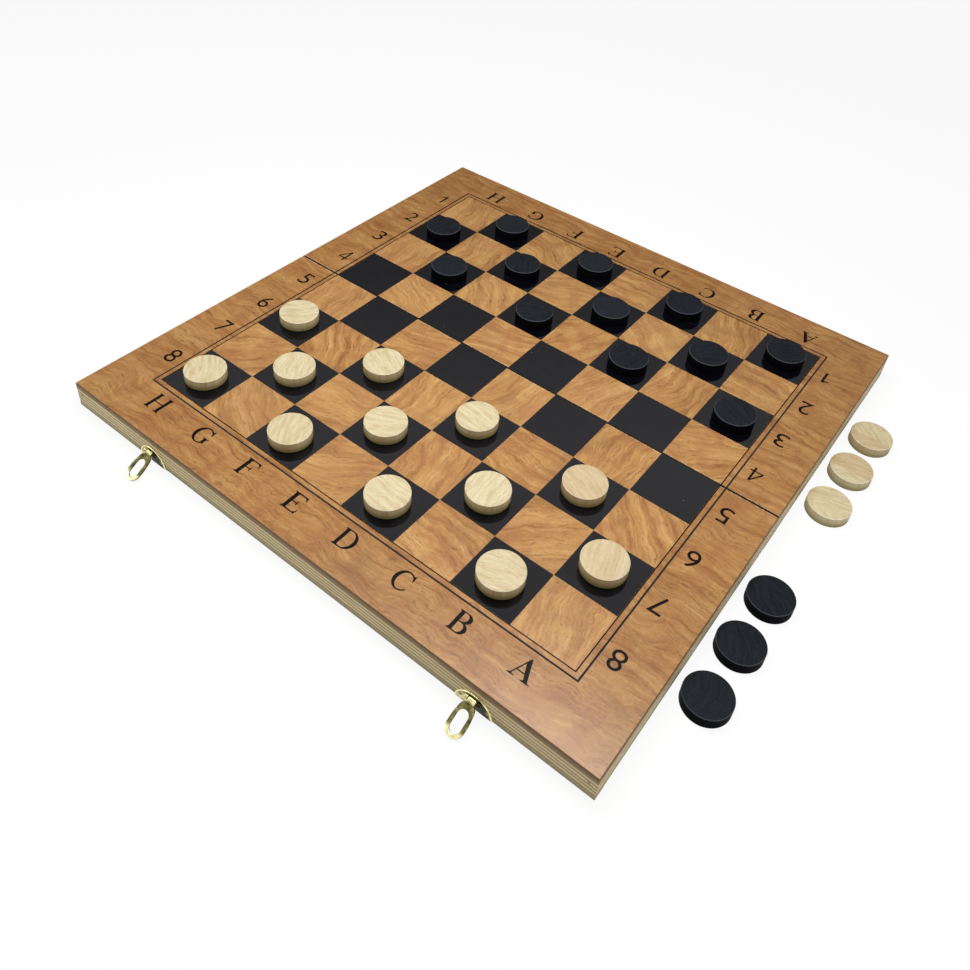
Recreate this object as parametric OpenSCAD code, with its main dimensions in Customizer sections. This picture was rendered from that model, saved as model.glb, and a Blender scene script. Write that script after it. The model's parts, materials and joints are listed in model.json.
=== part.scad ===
// Folding games compendium: two shallow wooden trays hinged along one edge.
// Opened flat with the rims down, their printed faces make one chess and draughts board.
// Closed, they make a case for the men, with a backgammon layout inside and two hasps in front.
// X runs along the fold, -Y is the edge with the hasps, +Z is up, and the table is at z = 0.

/* [Board] */
// Length of the board along the fold
board_length = 390; // [340:1:440]
// Depth of one half, from its face at the fold to its outer face
half_depth = 194.7; // [172:0.1:220]
// Height of one half, from its rim to its playing face
half_height = 19.5; // [18:0.1:30]
// Gap between the two halves along the fold
seam_gap = 0.6; // [0.2:0.1:1.2]
// Thickness of the printed hardboard panel
panel_thickness = 4.4; // [3:0.1:6]
// Thickness of the rails round each tray
rail_thickness = 9; // [8.5:0.1:12]
// Width of the eased edge round the panel's face
panel_ease = 0.4; // [0.1:0.1:0.8]
// Width of the eased edge round the outside of the rims
rail_ease = 0.7; // [0.2:0.1:1.2]

/* [Printed board] */
// Side of one square
square_size = 39.4; // [34:0.1:42]
// Width of the line round the squares
border_line = 1.1; // [0.6:0.1:2]
// Clear band between the squares and that line
border_gap = 3.4; // [2:0.1:6]
// Depth of each inlaid square, line and point
inlay_depth = 0.3; // [0.2:0.05:0.6]
// Clear width left between two squares that meet at a corner
square_gap = 0.1; // [0.05:0.05:0.3]

/* [Backgammon points] */
// Length of one point
point_length = 150; // [100:1:160]
// Clear width between the bases of two points
point_gap = 1.6; // [0.5:0.1:4]
// Clear width between a point's base and the side rail
point_inset = 1; // [0.5:0.1:4]

/* [Fold hinges] */
// Distance from the board's end to the middle of a hinge
hinge_from_end = 77; // [45:1:130]
// Length of one hinge
hinge_length = 28; // [22:1:40]
// Width of one leaf, from the pin to its edge
hinge_leaf_width = 7.6; // [6.5:0.1:8]
// Thickness of a leaf
hinge_leaf_thickness = 0.5; // [0.4:0.05:0.7]
// Diameter of the pin
hinge_pin_diameter = 1.2; // [1:0.1:1.6]
// Wall of a rolled knuckle
hinge_barrel_wall = 0.45; // [0.4:0.05:0.7]
// Gap between neighbouring knuckles
hinge_knuckle_gap = 0.3; // [0.3:0.05:0.5]
// Gap between the two rims when the case is closed
closed_gap = 0.2; // [0.1:0.05:0.5]

/* [Hasps] */
// Distance from the board's end to the middle of a hasp, were the pair centred
hasp_from_end = 72; // [45:1:110]
// How far the pair of hasps stands to the right of the board's middle
hasp_shift = 2.6; // [-8:0.1:8]
// Radius of the half-moon plates
hasp_plate_radius = 11.6; // [11:0.1:14]
// Thickness of the plates
hasp_plate_thickness = 0.5; // [0.4:0.05:0.7]
// Height of the plates' straight edge above the rim
hasp_plate_lift = 0.5; // [0.2:0.1:1]
// Height of the hasp's pin above the rim
hasp_pin_height = 9; // [8:0.1:10]
// Diameter of the hasp's pin
hasp_pin_diameter = 1.2; // [1:0.1:1.6]
// Wall of the hasp's rolled knuckles
hasp_barrel_wall = 0.6; // [0.5:0.05:0.8]
// Length of each outer knuckle
hasp_outer_knuckle = 2.2; // [1.5:0.1:3]
// Width of the tongue's root, between the outer knuckles
tongue_root_width = 4.6; // [4:0.1:6]
// Width of the tongue's blade
tongue_width = 10.5; // [10:0.1:12]
// Length of the tongue, from the pin to its end
tongue_length = 19.6; // [19:0.1:21]
// Length of the bare root between the pin and the blade
tongue_neck = 2.4; // [2.2:0.1:2.8]
// Radius of the blade's upper corners
tongue_shoulder = 2; // [1:0.1:3]
// Thickness of the tongue's sheet
tongue_thickness = 0.55; // [0.45:0.05:0.55]
// How deep the blade's edge is turned back towards the rail, its sheet included
tongue_depth = 1.8; // [1.4:0.1:2]
// Thickness of that turned edge
tongue_edge = 0.7; // [0.5:0.05:1]
// Width of the slot that drops over the catch
slot_width = 6.2; // [6:0.1:6.8]
// Length of that slot
slot_length = 12.2; // [10:0.1:12.4]
// Wall left beyond the slot's lower end
slot_end_wall = 2.2; // [1.8:0.1:2.6]
// Width of the catch's rolled hook
catch_hook_width = 4.6; // [3:0.1:4.8]
// Diameter of that roll
catch_hook_diameter = 3.2; // [2.6:0.1:3.4]

/* [Nails] */
// Diameter of a nail
nail_diameter = 1.1; // [0.9:0.1:1.4]
// Length of a nail
nail_length = 6; // [4:0.5:7.5]
// Diameter of a nail's head
nail_head_diameter = 2.2; // [1.8:0.1:2.6]
// Height of a domed head
nail_head_height = 0.5; // [0.3:0.1:0.8]
// Distance from a hinge's end to its nails
nail_inset = 5; // [3:0.1:8]
// Distance of a plate's nails from the middle of the plate
plate_nail_offset = 8.4; // [7.6:0.1:9]
// Height of a plate's nails above its straight edge
plate_nail_height = 4.4; // [3:0.1:6]

/* [Playing men] */
// Diameter of a disc
disc_diameter = 27; // [22:0.1:28]
// Thickness of a disc
disc_thickness = 7.5; // [5:0.1:10]
// Width of a disc's eased edge
disc_ease = 0.4; // [0.2:0.1:1]
// Distance that the middle rank of light men stands towards the fold from the middle of its squares
light_forward = 0.8; // [-4:0.1:4]
// How much further towards the fold each next rank of light men stands
light_advance = 1.6; // [0:0.1:2.5]
// Distance that the light men stand towards the left-hand side
light_sideways = 1.3; // [-4:0.1:4]
// Distance that the dark men nearest the fold stand towards it from the middle of their squares
dark_forward = 1.6; // [-2:0.1:4]
// How much further from the fold each next rank of dark men stands
dark_lag = 1.4; // [0:0.1:2]
// Distance that the dark men stand towards the right-hand side
dark_sideways = 0.5; // [-4:0.1:4]
// How unevenly the men were set down
men_scatter = 0.8; // [0:0.1:2]
// Gap between the board's side and the spare men on the table
spare_gap = 4; // [2:0.1:40]
// Distance between neighbouring spare men
spare_pitch = 38; // [30:0.1:45]
// Distance from the fold to the nearest of the spare light men
spare_light_start = 45; // [20:0.1:60]
// Distance from the fold to the nearest of the spare dark men
spare_dark_start = 42; // [20:0.1:60]

/* [Hidden] */
// Facets on round forms
$fn = 48;
// Files and ranks of the board, ranks of men on each side, points along each side rail
files = 8;
ranks = 8;
men_ranks = 3;
points_per_side = 6;
knuckle_count = 5;
spares_each = 3;
// Clearances: pin in its knuckles, leaf in its recess, barrel in its groove, nail in its hole
pin_clearance = 0.05;
leaf_clearance = 0.15;
barrel_clearance = 0.4;
nail_clearance = 0.02;
// Gap between a moving piece and the face that it passes
swing_clearance = 0.35;
// Gap between the hasp's barrel and the rail behind it
seat_gap = 0.3;
// Gap between the table and the leaning tongue's end
table_gap = 0.05;
// How deep the rolled hook is sunk in its plate
hook_sink = 0.4;
// Cutters run past the faces that they cut by this much
over = 1;

// Hinge: the pin lies between the two rims when the case is closed
hinge_bore_r = hinge_pin_diameter / 2 + pin_clearance;
hinge_barrel_r = hinge_bore_r + hinge_barrel_wall;
hinge_pin_z = hinge_barrel_r;
rim_z = hinge_pin_z + closed_gap / 2;
knuckle_pitch = hinge_length / knuckle_count;
leaf_start = hinge_barrel_r + hinge_knuckle_gap;

// Levels of one half
ceiling_z = rim_z + half_height - panel_thickness;
face_z = rim_z + half_height;
inner_y = seam_gap / 2;
outer_y = inner_y + half_depth;
side_x = board_length / 2;
tray_x = side_x - rail_thickness;
tray_depth = half_depth - 2 * rail_thickness;
field_x = files * square_size / 2;
point_pitch = tray_depth / points_per_side;

// Hasp: the barrel stands just clear of the rail, the tongue's end rests on the table
hasp_bore_r = hasp_pin_diameter / 2 + pin_clearance;
hasp_barrel_r = hasp_bore_r + hasp_barrel_wall;
hasp_pin_z = rim_z + hasp_pin_height;
hasp_pin_y = outer_y + hasp_barrel_r + seat_gap;
hasp_barrel_length = tongue_root_width + 2 * (hasp_outer_knuckle + hinge_knuckle_gap);
plate_z = rim_z + hasp_plate_lift;
tongue_back = tongue_depth - hasp_barrel_r;
tongue_drop = hasp_pin_z - table_gap;
tongue_reach = sqrt(tongue_length * tongue_length + tongue_back * tongue_back);
tongue_lean = atan2(tongue_back, tongue_length) + acos(tongue_drop / tongue_reach);
slot_middle = tongue_length - slot_end_wall - slot_length / 2;
hook_drop = tongue_length - slot_end_wall - slot_width / 2;
// The hook meets the slot when the case is closed, so its height mirrors about the hinge pin
hook_z = 2 * hinge_pin_z - (hasp_pin_z - hook_drop);
hook_out = hasp_plate_thickness + catch_hook_diameter / 2 - hook_sink;
hinge_spacing = board_length - 2 * hinge_from_end;
hasp_spacing = board_length - 2 * hasp_from_end;
function hasp_x(side) = hasp_shift + side * hasp_spacing / 2;

// The men stand on the dark squares of the three outer ranks on each side
light_squares = [for (rank = [0:men_ranks - 1]) for (file = [0:files - 1])
    if ((file + rank) % 2 == 0) [file, rank]];
dark_squares = [for (rank = [ranks - men_ranks:ranks - 1]) for (file = [0:files - 1])
    if ((file + rank) % 2 == 0) [file, rank]];
spare_x = side_x + spare_gap + disc_diameter / 2;
function square_middle(file, rank) =
    [(file + 0.5) * square_size - field_x, (rank + 0.5 - ranks / 2) * square_size];
function scatter(k) = men_scatter * [sin(137 * k), cos(211 * k)];
function light_place(k) = k < len(light_squares)
    ? concat(square_middle(light_squares[k][0], light_squares[k][1])
        + [-light_sideways, light_forward + (light_squares[k][1] - 1) * light_advance] + scatter(k), face_z)
    : [spare_x, spare_light_start + (k - len(light_squares)) * spare_pitch, 0];
function dark_place(k) = k < len(dark_squares)
    ? concat(square_middle(dark_squares[k][0], dark_squares[k][1])
        + [dark_sideways, (dark_squares[k][1] - ranks + men_ranks) * dark_lag - dark_forward]
        + scatter(k + 5), face_z)
    : [spare_x, -spare_dark_start - (k - len(dark_squares)) * spare_pitch, 0];
light_count = len(light_squares) + spares_each;
dark_count = len(dark_squares) + spares_each;

// The origin lies under the middle of everything that stands on the table
right_end = spare_x + disc_diameter / 2;
front_end = hasp_pin_y + tongue_length * sin(tongue_lean) + hasp_barrel_r * cos(tongue_lean);
back_end = outer_y + hook_out + catch_hook_diameter / 2;
origin_x = (right_end - side_x) / 2;
origin_y = (back_end - front_end) / 2;

// Moves a piece from the frame of the fold to the object's own origin
module in_place() translate([-origin_x, -origin_y, 0]) children();

// The far half is the near half turned half a turn about the middle of the board
module far_side() rotate([0, 0, 180]) children();

// A prism along X from a profile in Y and Z
module along_x(length) rotate([90, 0, 90]) linear_extrude(length, center = true) children();

// --- Panels and their inlays, drawn for the near half ---

// Dark squares, from the given depth under the face to the given height above it
module squares(below, above) {
    side = square_size - square_gap;
    for (rank = [0:ranks / 2 - 1])
        for (file = [0:files - 1])
            if ((file + rank) % 2 == 0)
                translate(concat(square_middle(file, rank), face_z + (above - below) / 2))
                    cube([side, side, below + above], center = true);
}

// The line round the squares, open at the fold
module border(below, above) {
    inner_x = field_x + border_gap;
    line_y = ranks / 2 * square_size + border_gap;
    depth = line_y + border_line - inner_y;
    height = below + above;
    translate([-inner_x - border_line, -line_y - border_line, face_z - below]) {
        cube([2 * (inner_x + border_line), border_line, height]);
        cube([border_line, depth, height]);
        translate([2 * inner_x + border_line, 0, 0]) cube([border_line, depth, height]);
    }
}

// Backgammon points under the panel: every other one along each side rail
module points(first, below, above) {
    for (side = [-1, 1])
        for (k = [0:points_per_side - 1])
            if ((k + (side > 0 ? 1 : 0)) % 2 == first)
                translate([side * (tray_x - point_inset),
                        -outer_y + rail_thickness + (k + 0.5) * point_pitch, ceiling_z - below])
                    linear_extrude(below + above)
                        polygon([[0, -(point_pitch - point_gap) / 2],
                            [0, (point_pitch - point_gap) / 2], [-side * point_length, 0]]);
}

// A blank panel, eased along the three edges that show
module blank_panel() {
    difference() {
        translate([-side_x, -outer_y, ceiling_z])
            cube([board_length, half_depth, panel_thickness]);
        translate([0, -outer_y, face_z]) rotate([45, 0, 0])
            cube([board_length + over, panel_ease * sqrt(2), panel_ease * sqrt(2)], center = true);
        for (side = [-1, 1])
            translate([side * side_x, -outer_y / 2, face_z]) rotate([0, 45, 0])
                cube([panel_ease * sqrt(2), outer_y + over, panel_ease * sqrt(2)], center = true);
    }
}

module panel() color([0.76, 0.5, 0.27]) difference() {
    blank_panel();
    squares(inlay_depth, over);
    border(inlay_depth, over);
    points(0, over, inlay_depth);
    points(1, over, inlay_depth);
}

module board_print() color([0.06, 0.06, 0.08]) {
    squares(inlay_depth, 0);
    border(inlay_depth, 0);
}

module points_dark() color([0.1, 0.08, 0.08]) points(0, 0, inlay_depth);

module points_light() color([0.87, 0.72, 0.48]) points(1, 0, inlay_depth);

// --- Rails ---

// Section of a rail: its outer face at 0, its rim eased on the outside
module rail_section() polygon([[0, ceiling_z], [0, rim_z + rail_ease], [rail_ease, rim_z],
    [rail_thickness, rim_z], [rail_thickness, ceiling_z]]);

// Rail along the outer edge, drilled for the nails of the hasp plates or of the catches.
// turn is 1 for the near half and -1 for the far half, which is drawn turned round
module outer_rail(turn) color([0.8, 0.7, 0.5]) difference() {
    translate([0, -outer_y, 0]) along_x(board_length) rail_section();
    for (side = [-1, 1]) translate([turn * hasp_x(side), -outer_y, 0]) plate_nail_holes();
}

module spine_rail() color([0.8, 0.7, 0.5]) difference() {
    translate([-side_x, -inner_y - rail_thickness, rim_z])
        cube([board_length, rail_thickness, ceiling_z - rim_z]);
    for (side = [-1, 1]) translate([side * hinge_spacing / 2, 0, hinge_pin_z]) hinge_recess();
}

// Side rail between the outer rail and the spine rail; side is -1 on the left, 1 on the right
module side_rail(side) color([0.82, 0.72, 0.53])
    translate([side * side_x, -inner_y - rail_thickness, 0])
        mirror([side > 0 ? 1 : 0, 0, 0]) rotate([90, 0, 0])
            linear_extrude(tray_depth) rail_section();

// --- Nails ---

// Flush nail for a hinge leaf: its head fills the countersink, pointing up from z = 0
module flush_nail(clearance) {
    rotate_extrude() polygon([[0, 0], [nail_head_diameter / 2 + clearance, 0],
        [nail_diameter / 2 + clearance, hinge_leaf_thickness],
        [nail_diameter / 2 + clearance, nail_length], [0, nail_length]]);
}

// Domed nail for a hasp plate: the plate's face is at z = 0 and the nail points up
module domed_nail() {
    head_r = nail_head_diameter / 2;
    rotate_extrude() polygon(concat(
        [[0, nail_length], [0, -nail_head_height]],
        [for (a = [75:-15:0]) [head_r * cos(a), -nail_head_height * sin(a)]],
        [[nail_diameter / 2, 0], [nail_diameter / 2, nail_length]]));
}

// Runs its children at both nails of a hinge leaf, in the frame of the hinge's pin
module at_leaf_nails() for (side = [-1, 1])
    translate([side * (hinge_length / 2 - nail_inset), -(leaf_start + hinge_leaf_width) / 2,
        closed_gap / 2]) children();

// Runs its children at both nails of a plate, turned to point into the rail
module at_plate_nails(face) for (side = [-1, 1])
    translate([side * plate_nail_offset, -face, plate_z + plate_nail_height])
        rotate([-90, 0, 0]) children();

module plate_nail_holes() at_plate_nails(over)
    cylinder(h = nail_length + over, r = nail_diameter / 2 + nail_clearance);

module half_nails(turn) color([0.72, 0.58, 0.28]) {
    for (side = [-1, 1]) {
        translate([side * hinge_spacing / 2, 0, hinge_pin_z]) at_leaf_nails() flush_nail(0);
        translate([turn * hasp_x(side), -outer_y, 0])
            at_plate_nails(hasp_plate_thickness) domed_nail();
    }
}

// --- Fold hinges, drawn in the frame of the pin ---

// Room for one leaf, its nails and half of the barrel
module hinge_recess() {
    translate([-hinge_length / 2 - leaf_clearance, -hinge_leaf_width - leaf_clearance, -over])
        cube([hinge_length + 2 * leaf_clearance, hinge_leaf_width + over,
            over + closed_gap / 2 + hinge_leaf_thickness]);
    rotate([0, 90, 0]) cylinder(h = hinge_length + 2 * leaf_clearance,
        r = hinge_barrel_r + barrel_clearance, center = true);
    at_leaf_nails() cylinder(h = nail_length + nail_clearance, r = nail_diameter / 2 + nail_clearance);
}

// A leaf with every other knuckle, counted from first
module hinge_leaf(first) color([0.78, 0.64, 0.3]) difference() {
    union() {
        translate([-hinge_length / 2, -hinge_leaf_width, closed_gap / 2])
            cube([hinge_length, hinge_leaf_width - leaf_start, hinge_leaf_thickness]);
        for (k = [first:2:knuckle_count - 1])
            translate([(k + 0.5) * knuckle_pitch - hinge_length / 2, 0, 0]) knuckle();
    }
    rotate([0, 90, 0]) cylinder(h = hinge_length + over, r = hinge_bore_r, center = true);
    at_leaf_nails() flush_nail(nail_clearance);
}

module knuckle() {
    length = knuckle_pitch - hinge_knuckle_gap;
    rotate([0, 90, 0]) cylinder(h = length, r = hinge_barrel_r, center = true);
    translate([-length / 2, -leaf_start - hinge_knuckle_gap, closed_gap / 2])
        cube([length, leaf_start, hinge_leaf_thickness]);
}

module near_leaf(side) translate([side * hinge_spacing / 2, 0, hinge_pin_z]) hinge_leaf(0);

// The far leaf carries the knuckles between those of the near leaf
module far_leaf(side) translate([side * hinge_spacing / 2, 0, hinge_pin_z])
    rotate([0, 0, 180]) hinge_leaf(1);

module fold_pins() color([0.6, 0.55, 0.42])
    for (side = [-1, 1]) translate([side * hinge_spacing / 2, 0, hinge_pin_z])
        rotate([0, 90, 0]) cylinder(h = hinge_length, r = hinge_pin_diameter / 2, center = true);

// --- Hasps ---

// Half-moon plate on a rail's outer face, its straight edge along the rim
module half_moon() intersection() {
    translate([0, 0, plate_z]) rotate([90, 0, 0])
        cylinder(h = hasp_plate_thickness, r = hasp_plate_radius, $fn = 96);
    translate([-hasp_plate_radius, -over, plate_z])
        cube([2 * hasp_plate_radius, 2 * over, hasp_plate_radius]);
}

// Near plate: a window for the tongue's root between two rolled knuckles
module hasp_plate() color([0.8, 0.68, 0.36]) difference() {
    union() {
        half_moon();
        translate([0, outer_y - hasp_pin_y, hasp_pin_z]) rotate([0, 90, 0])
            cylinder(h = hasp_barrel_length, r = hasp_barrel_r, center = true);
    }
    translate([-tongue_root_width / 2 - hinge_knuckle_gap, -2 * hasp_barrel_r - over,
            hasp_pin_z - tongue_neck - over])
        cube([tongue_root_width + 2 * hinge_knuckle_gap, 2 * (hasp_barrel_r + over),
            tongue_neck + over + hasp_barrel_r + swing_clearance]);
    translate([0, outer_y - hasp_pin_y, hasp_pin_z]) rotate([0, 90, 0])
        cylinder(h = hasp_barrel_length + over, r = hasp_bore_r, center = true);
    at_plate_nails(over) cylinder(h = 2 * over, r = nail_diameter / 2 + nail_clearance);
}

// Round-ended slot in the tongue's plane, running down from top to bottom
module tongue_slot(width, top, bottom, height) {
    for (y = [-top - width / 2, -bottom + width / 2]) translate([0, y, 0])
        cylinder(h = height, r = width / 2);
    translate([-width / 2, -bottom + width / 2, 0]) cube([width, bottom - top - width, height]);
}

// Blade in the tongue's plane: rounded shoulders at the top, a half-round end at the bottom
module tongue_blade(width, top, bottom, shoulder, height) {
    end_y = -bottom + width / 2;
    translate([0, end_y, 0]) cylinder(h = height, r = width / 2);
    for (side = [-1, 1]) translate([side * (width / 2 - shoulder), -top - shoulder, 0])
        cylinder(h = height, r = shoulder);
    translate([-width / 2, end_y, 0]) cube([width, -top - shoulder - end_y, height]);
    translate([-width / 2 + shoulder, end_y, 0])
        cube([width - 2 * shoulder, -top - end_y, height]);
}

// Tongue in the frame of its pin, hanging straight down: sheet rolled round the pin,
// with the blade's edge turned back towards the rail
module hanging_tongue() difference() {
    union() {
        rotate([0, 90, 0]) cylinder(h = tongue_root_width, r = hasp_barrel_r, center = true);
        translate([0, tongue_back, 0]) rotate([90, 0, 0]) {
            difference() {
                tongue_blade(tongue_width, tongue_neck, tongue_length, tongue_shoulder,
                    tongue_depth);
                translate([0, 0, -over])
                    tongue_blade(tongue_width - 2 * tongue_edge, tongue_neck + tongue_edge,
                        tongue_length - tongue_edge, tongue_shoulder - tongue_edge / 2,
                        over + tongue_depth - tongue_thickness);
            }
            translate([-tongue_root_width / 2, -tongue_neck - tongue_edge,
                    tongue_depth - tongue_thickness])
                cube([tongue_root_width, tongue_neck + tongue_edge, tongue_thickness]);
        }
    }
    rotate([0, 90, 0]) cylinder(h = tongue_root_width + over, r = hasp_bore_r, center = true);
    translate([0, tongue_depth + over, 0]) rotate([90, 0, 0])
        tongue_slot(slot_width, slot_middle - slot_length / 2, slot_middle + slot_length / 2,
            2 * (tongue_depth + over));
}

// Left or right tongue, leaning out with its end on the table
module hasp_tongue(side) color([0.82, 0.72, 0.42])
    translate([hasp_x(side), -hasp_pin_y, hasp_pin_z])
        rotate([-tongue_lean, 0, 0]) hanging_tongue();

module hasp_pins() color([0.6, 0.55, 0.42])
    for (side = [-1, 1]) translate([hasp_x(side), -hasp_pin_y, hasp_pin_z])
        rotate([0, 90, 0])
            cylinder(h = hasp_barrel_length, r = hasp_pin_diameter / 2, center = true);

// Catch: a half-moon plate with a rolled hook that the tongue's slot drops over
module catch() color([0.8, 0.68, 0.36]) difference() {
    union() {
        half_moon();
        translate([0, -hook_out, hook_z]) rotate([0, 90, 0])
            cylinder(h = catch_hook_width, r = catch_hook_diameter / 2, center = true);
    }
    translate([0, -hook_out, hook_z]) rotate([0, 90, 0])
        cylinder(h = catch_hook_width + over, r = catch_hook_diameter / 4, center = true);
    at_plate_nails(over) cylinder(h = 2 * over, r = nail_diameter / 2 + nail_clearance);
}

// --- Men ---

module disc() rotate_extrude($fn = 72) polygon([[0, 0], [disc_diameter / 2 - disc_ease, 0],
    [disc_diameter / 2, disc_ease], [disc_diameter / 2, disc_thickness - disc_ease],
    [disc_diameter / 2 - disc_ease, disc_thickness], [0, disc_thickness]]);

module light_disc(k) color([0.88, 0.78, 0.58]) translate(light_place(k)) disc();

module dark_disc(k) color([0.12, 0.12, 0.14]) translate(dark_place(k)) disc();

// --- The pieces by name ---

in_place() panel();  // near_panel
in_place() board_print();  // near_print
in_place() points_dark();  // near_points_dark
in_place() points_light();  // near_points_light
in_place() outer_rail(1);  // near_outer_rail
in_place() spine_rail();  // near_spine_rail
in_place() side_rail(-1);  // near_left_rail
in_place() side_rail(1);  // near_right_rail
in_place() half_nails(1);  // near_nails

in_place() far_side() panel();  // far_panel
in_place() far_side() board_print();  // far_print
in_place() far_side() points_dark();  // far_points_dark
in_place() far_side() points_light();  // far_points_light
in_place() far_side() outer_rail(-1);  // far_outer_rail
in_place() far_side() spine_rail();  // far_spine_rail
in_place() far_side() side_rail(1);  // far_left_rail
in_place() far_side() side_rail(-1);  // far_right_rail
in_place() far_side() half_nails(-1);  // far_nails

in_place() near_leaf(-1);  // near_hinge_leaf_left
in_place() near_leaf(1);  // near_hinge_leaf_right
in_place() far_leaf(-1);  // far_hinge_leaf_left
in_place() far_leaf(1);  // far_hinge_leaf_right
in_place() fold_pins();  // hinge_pins

in_place() translate([hasp_x(-1), -outer_y, 0]) hasp_plate();  // hasp_plate_left
in_place() translate([hasp_x(1), -outer_y, 0]) hasp_plate();  // hasp_plate_right
in_place() hasp_tongue(-1);  // hasp_tongue_left
in_place() hasp_tongue(1);  // hasp_tongue_right
in_place() hasp_pins();
in_place() far_side() translate([-hasp_x(-1), -outer_y, 0]) catch();  // catch_left
in_place() far_side() translate([-hasp_x(1), -outer_y, 0]) catch();  // catch_right

for (k = [1:light_count])
    in_place() light_disc(k - 1);
for (k = [1:dark_count])
    in_place() dark_disc(k - 1);
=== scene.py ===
import json
import math

import bmesh
import bpy
from mathutils import Matrix, Vector


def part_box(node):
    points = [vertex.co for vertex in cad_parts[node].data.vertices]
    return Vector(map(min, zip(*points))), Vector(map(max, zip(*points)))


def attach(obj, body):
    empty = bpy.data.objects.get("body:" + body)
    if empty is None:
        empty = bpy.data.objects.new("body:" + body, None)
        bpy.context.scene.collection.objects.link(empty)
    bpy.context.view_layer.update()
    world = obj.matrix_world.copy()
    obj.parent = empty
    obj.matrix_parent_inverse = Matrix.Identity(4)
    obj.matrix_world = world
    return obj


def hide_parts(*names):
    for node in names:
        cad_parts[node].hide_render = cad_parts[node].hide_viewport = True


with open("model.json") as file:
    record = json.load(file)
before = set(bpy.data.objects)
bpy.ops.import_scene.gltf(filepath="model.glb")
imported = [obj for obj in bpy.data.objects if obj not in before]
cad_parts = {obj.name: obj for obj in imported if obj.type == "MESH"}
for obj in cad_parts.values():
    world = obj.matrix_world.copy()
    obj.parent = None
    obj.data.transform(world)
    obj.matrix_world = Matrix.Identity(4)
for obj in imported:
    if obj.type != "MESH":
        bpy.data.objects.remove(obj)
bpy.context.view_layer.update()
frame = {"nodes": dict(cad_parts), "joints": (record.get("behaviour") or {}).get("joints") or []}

NODES = frame["nodes"]
JOINTS = {joint["name"]: joint for joint in frame["joints"]}
MM = 0.001

# ---- sizes read off the frame -------------------------------------------------------------------

near_low, near_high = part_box("near_panel")
far_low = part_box("far_panel")[0]
print_low, print_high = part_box("near_print")
rail_low, rail_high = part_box("near_outer_rail")
plate_low, plate_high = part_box("hasp_plate_left")

BOARD_X = (near_low.x + near_high.x) / 2          # middle of the board, across
FOLD_Y = (near_high.y + far_low.y) / 2            # the seam between the halves
FACE_Z = near_high.z                              # the chequered face
PANEL_Z = near_low.z                              # underside of the printed panel
RIM_Z = rail_low.z                                # rims of the trays
BORDER_BAND = 4.5 * MM                            # gap and thick line round the field
SQUARE = (print_high.x - print_low.x - 2 * BORDER_BAND) / 8
FIELD = 4 * SQUARE                                # half the width of the chequered field

INK = 0.03 * MM                                   # how far print stands on the film
PRINT_SINK = 0.05 * MM                            # how far it reaches into the film
THIN_LINE = 0.70 * MM                             # width of the fine line at the field's edge
SEAM_HALF = 0.35 * MM                             # the fine line stops this far from the middle of the seam
BRAD_RADIUS, BRAD_HEIGHT = 0.85 * MM, 0.3 * MM
BRAD_FROM_END, BRAD_Z = 4.5 * MM, 12.4 * MM       # middle of the side rail, height over the table
# hasps, in millimetres about their pins
TONGUE_WIDTH, TONGUE_LENGTH, TONGUE_ROOT = 10.5, 19.6, 4.6
TONGUE_FRONT, TONGUE_BACK = 1.25, -0.55           # faces of the blade, in front of and behind the pin
SLOT_WIDTH, SLOT_LENGTH, SLOT_MIDDLE = 6.2, 12.2, 11.3
KNUCKLE_RADIUS, KNUCKLE_EASE, BORE_RADIUS = 1.25, 0.18, 0.65
PLATE_RADIUS, PLATE_THICKNESS = (plate_high.x - plate_low.x) / 2 / MM, 0.5
RIM_WIDTH = 0.62                                  # width and depth of the plate's raised rim

# print of the coordinates: sizes, distance of its middle from the field, each sign's shift along the edge
FILES, RANKS = "HGFEDCBA", "87654321"
LETTER_HEIGHT, DIGIT_HEIGHT = 13.2 * MM, 12.8 * MM
LOW_ONE_HEIGHT = 0.92 * DIGIT_HEIGHT              # the 1 is lower than the other digits
LETTERS_OUT = {"near": 15.1 * MM, "far": 14.9 * MM}
DIGITS_OUT = {"left": 13.9 * MM, "right": 12.8 * MM}
LETTER_SHIFT = {"near": dict(zip(FILES, (-3.6, -1.2, -0.8, -1.0, -0.2, 0.2, 0.2, 0.4))),
                "far": dict(zip(FILES, (-1.8, 0.6, 0.8, 1.2, 2.0, 3.4, 3.8, 4.8)))}
DIGIT_SHIFT = {"left": dict(zip(RANKS, (-0.8, 1.8, 0.0, 0.0, 2.2, 1.6, 1.0, 0.6))),
               "right": dict(zip(RANKS, (-1.8, 0.4, -1.2, 0.0, 1.6, 1.4, 1.0, 0.6)))}
LETTER_WIDTH = dict(zip(FILES, (13.0, 12.8, 10.6, 11.2, 12.0, 10.8, 10.2, 13.0)))
DIGIT_WIDTH = dict(zip(RANKS, (8.2, 8.0, 8.0, 7.8, 8.6, 7.8, 8.2, 4.8)))

PHOTO_PX = 970                                    # side of the photograph, in pixels
CAMERA_AT = Vector((0.2384, -0.3925, 0.4283))
FULL_TURN = 2 * math.pi
SHARP_ANGLE = math.radians(50)                    # edges of the pressed brass that stay crisp
ROLLED = (0.3, 0.2, 0.5)                          # turn of the fine rolling lines in sheet metal
WHITE = (1, 1, 1, 1)


# ---- small helpers ------------------------------------------------------------------------------

def paint(hexcode):
    """A written colour as Blender's linear one."""
    values = [int(hexcode[i:i + 2], 16) / 255 for i in (0, 2, 4)]
    return tuple(v / 12.92 if v <= 0.04045 else ((v + 0.055) / 1.055) ** 2.4 for v in values) + (1.0,)


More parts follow.
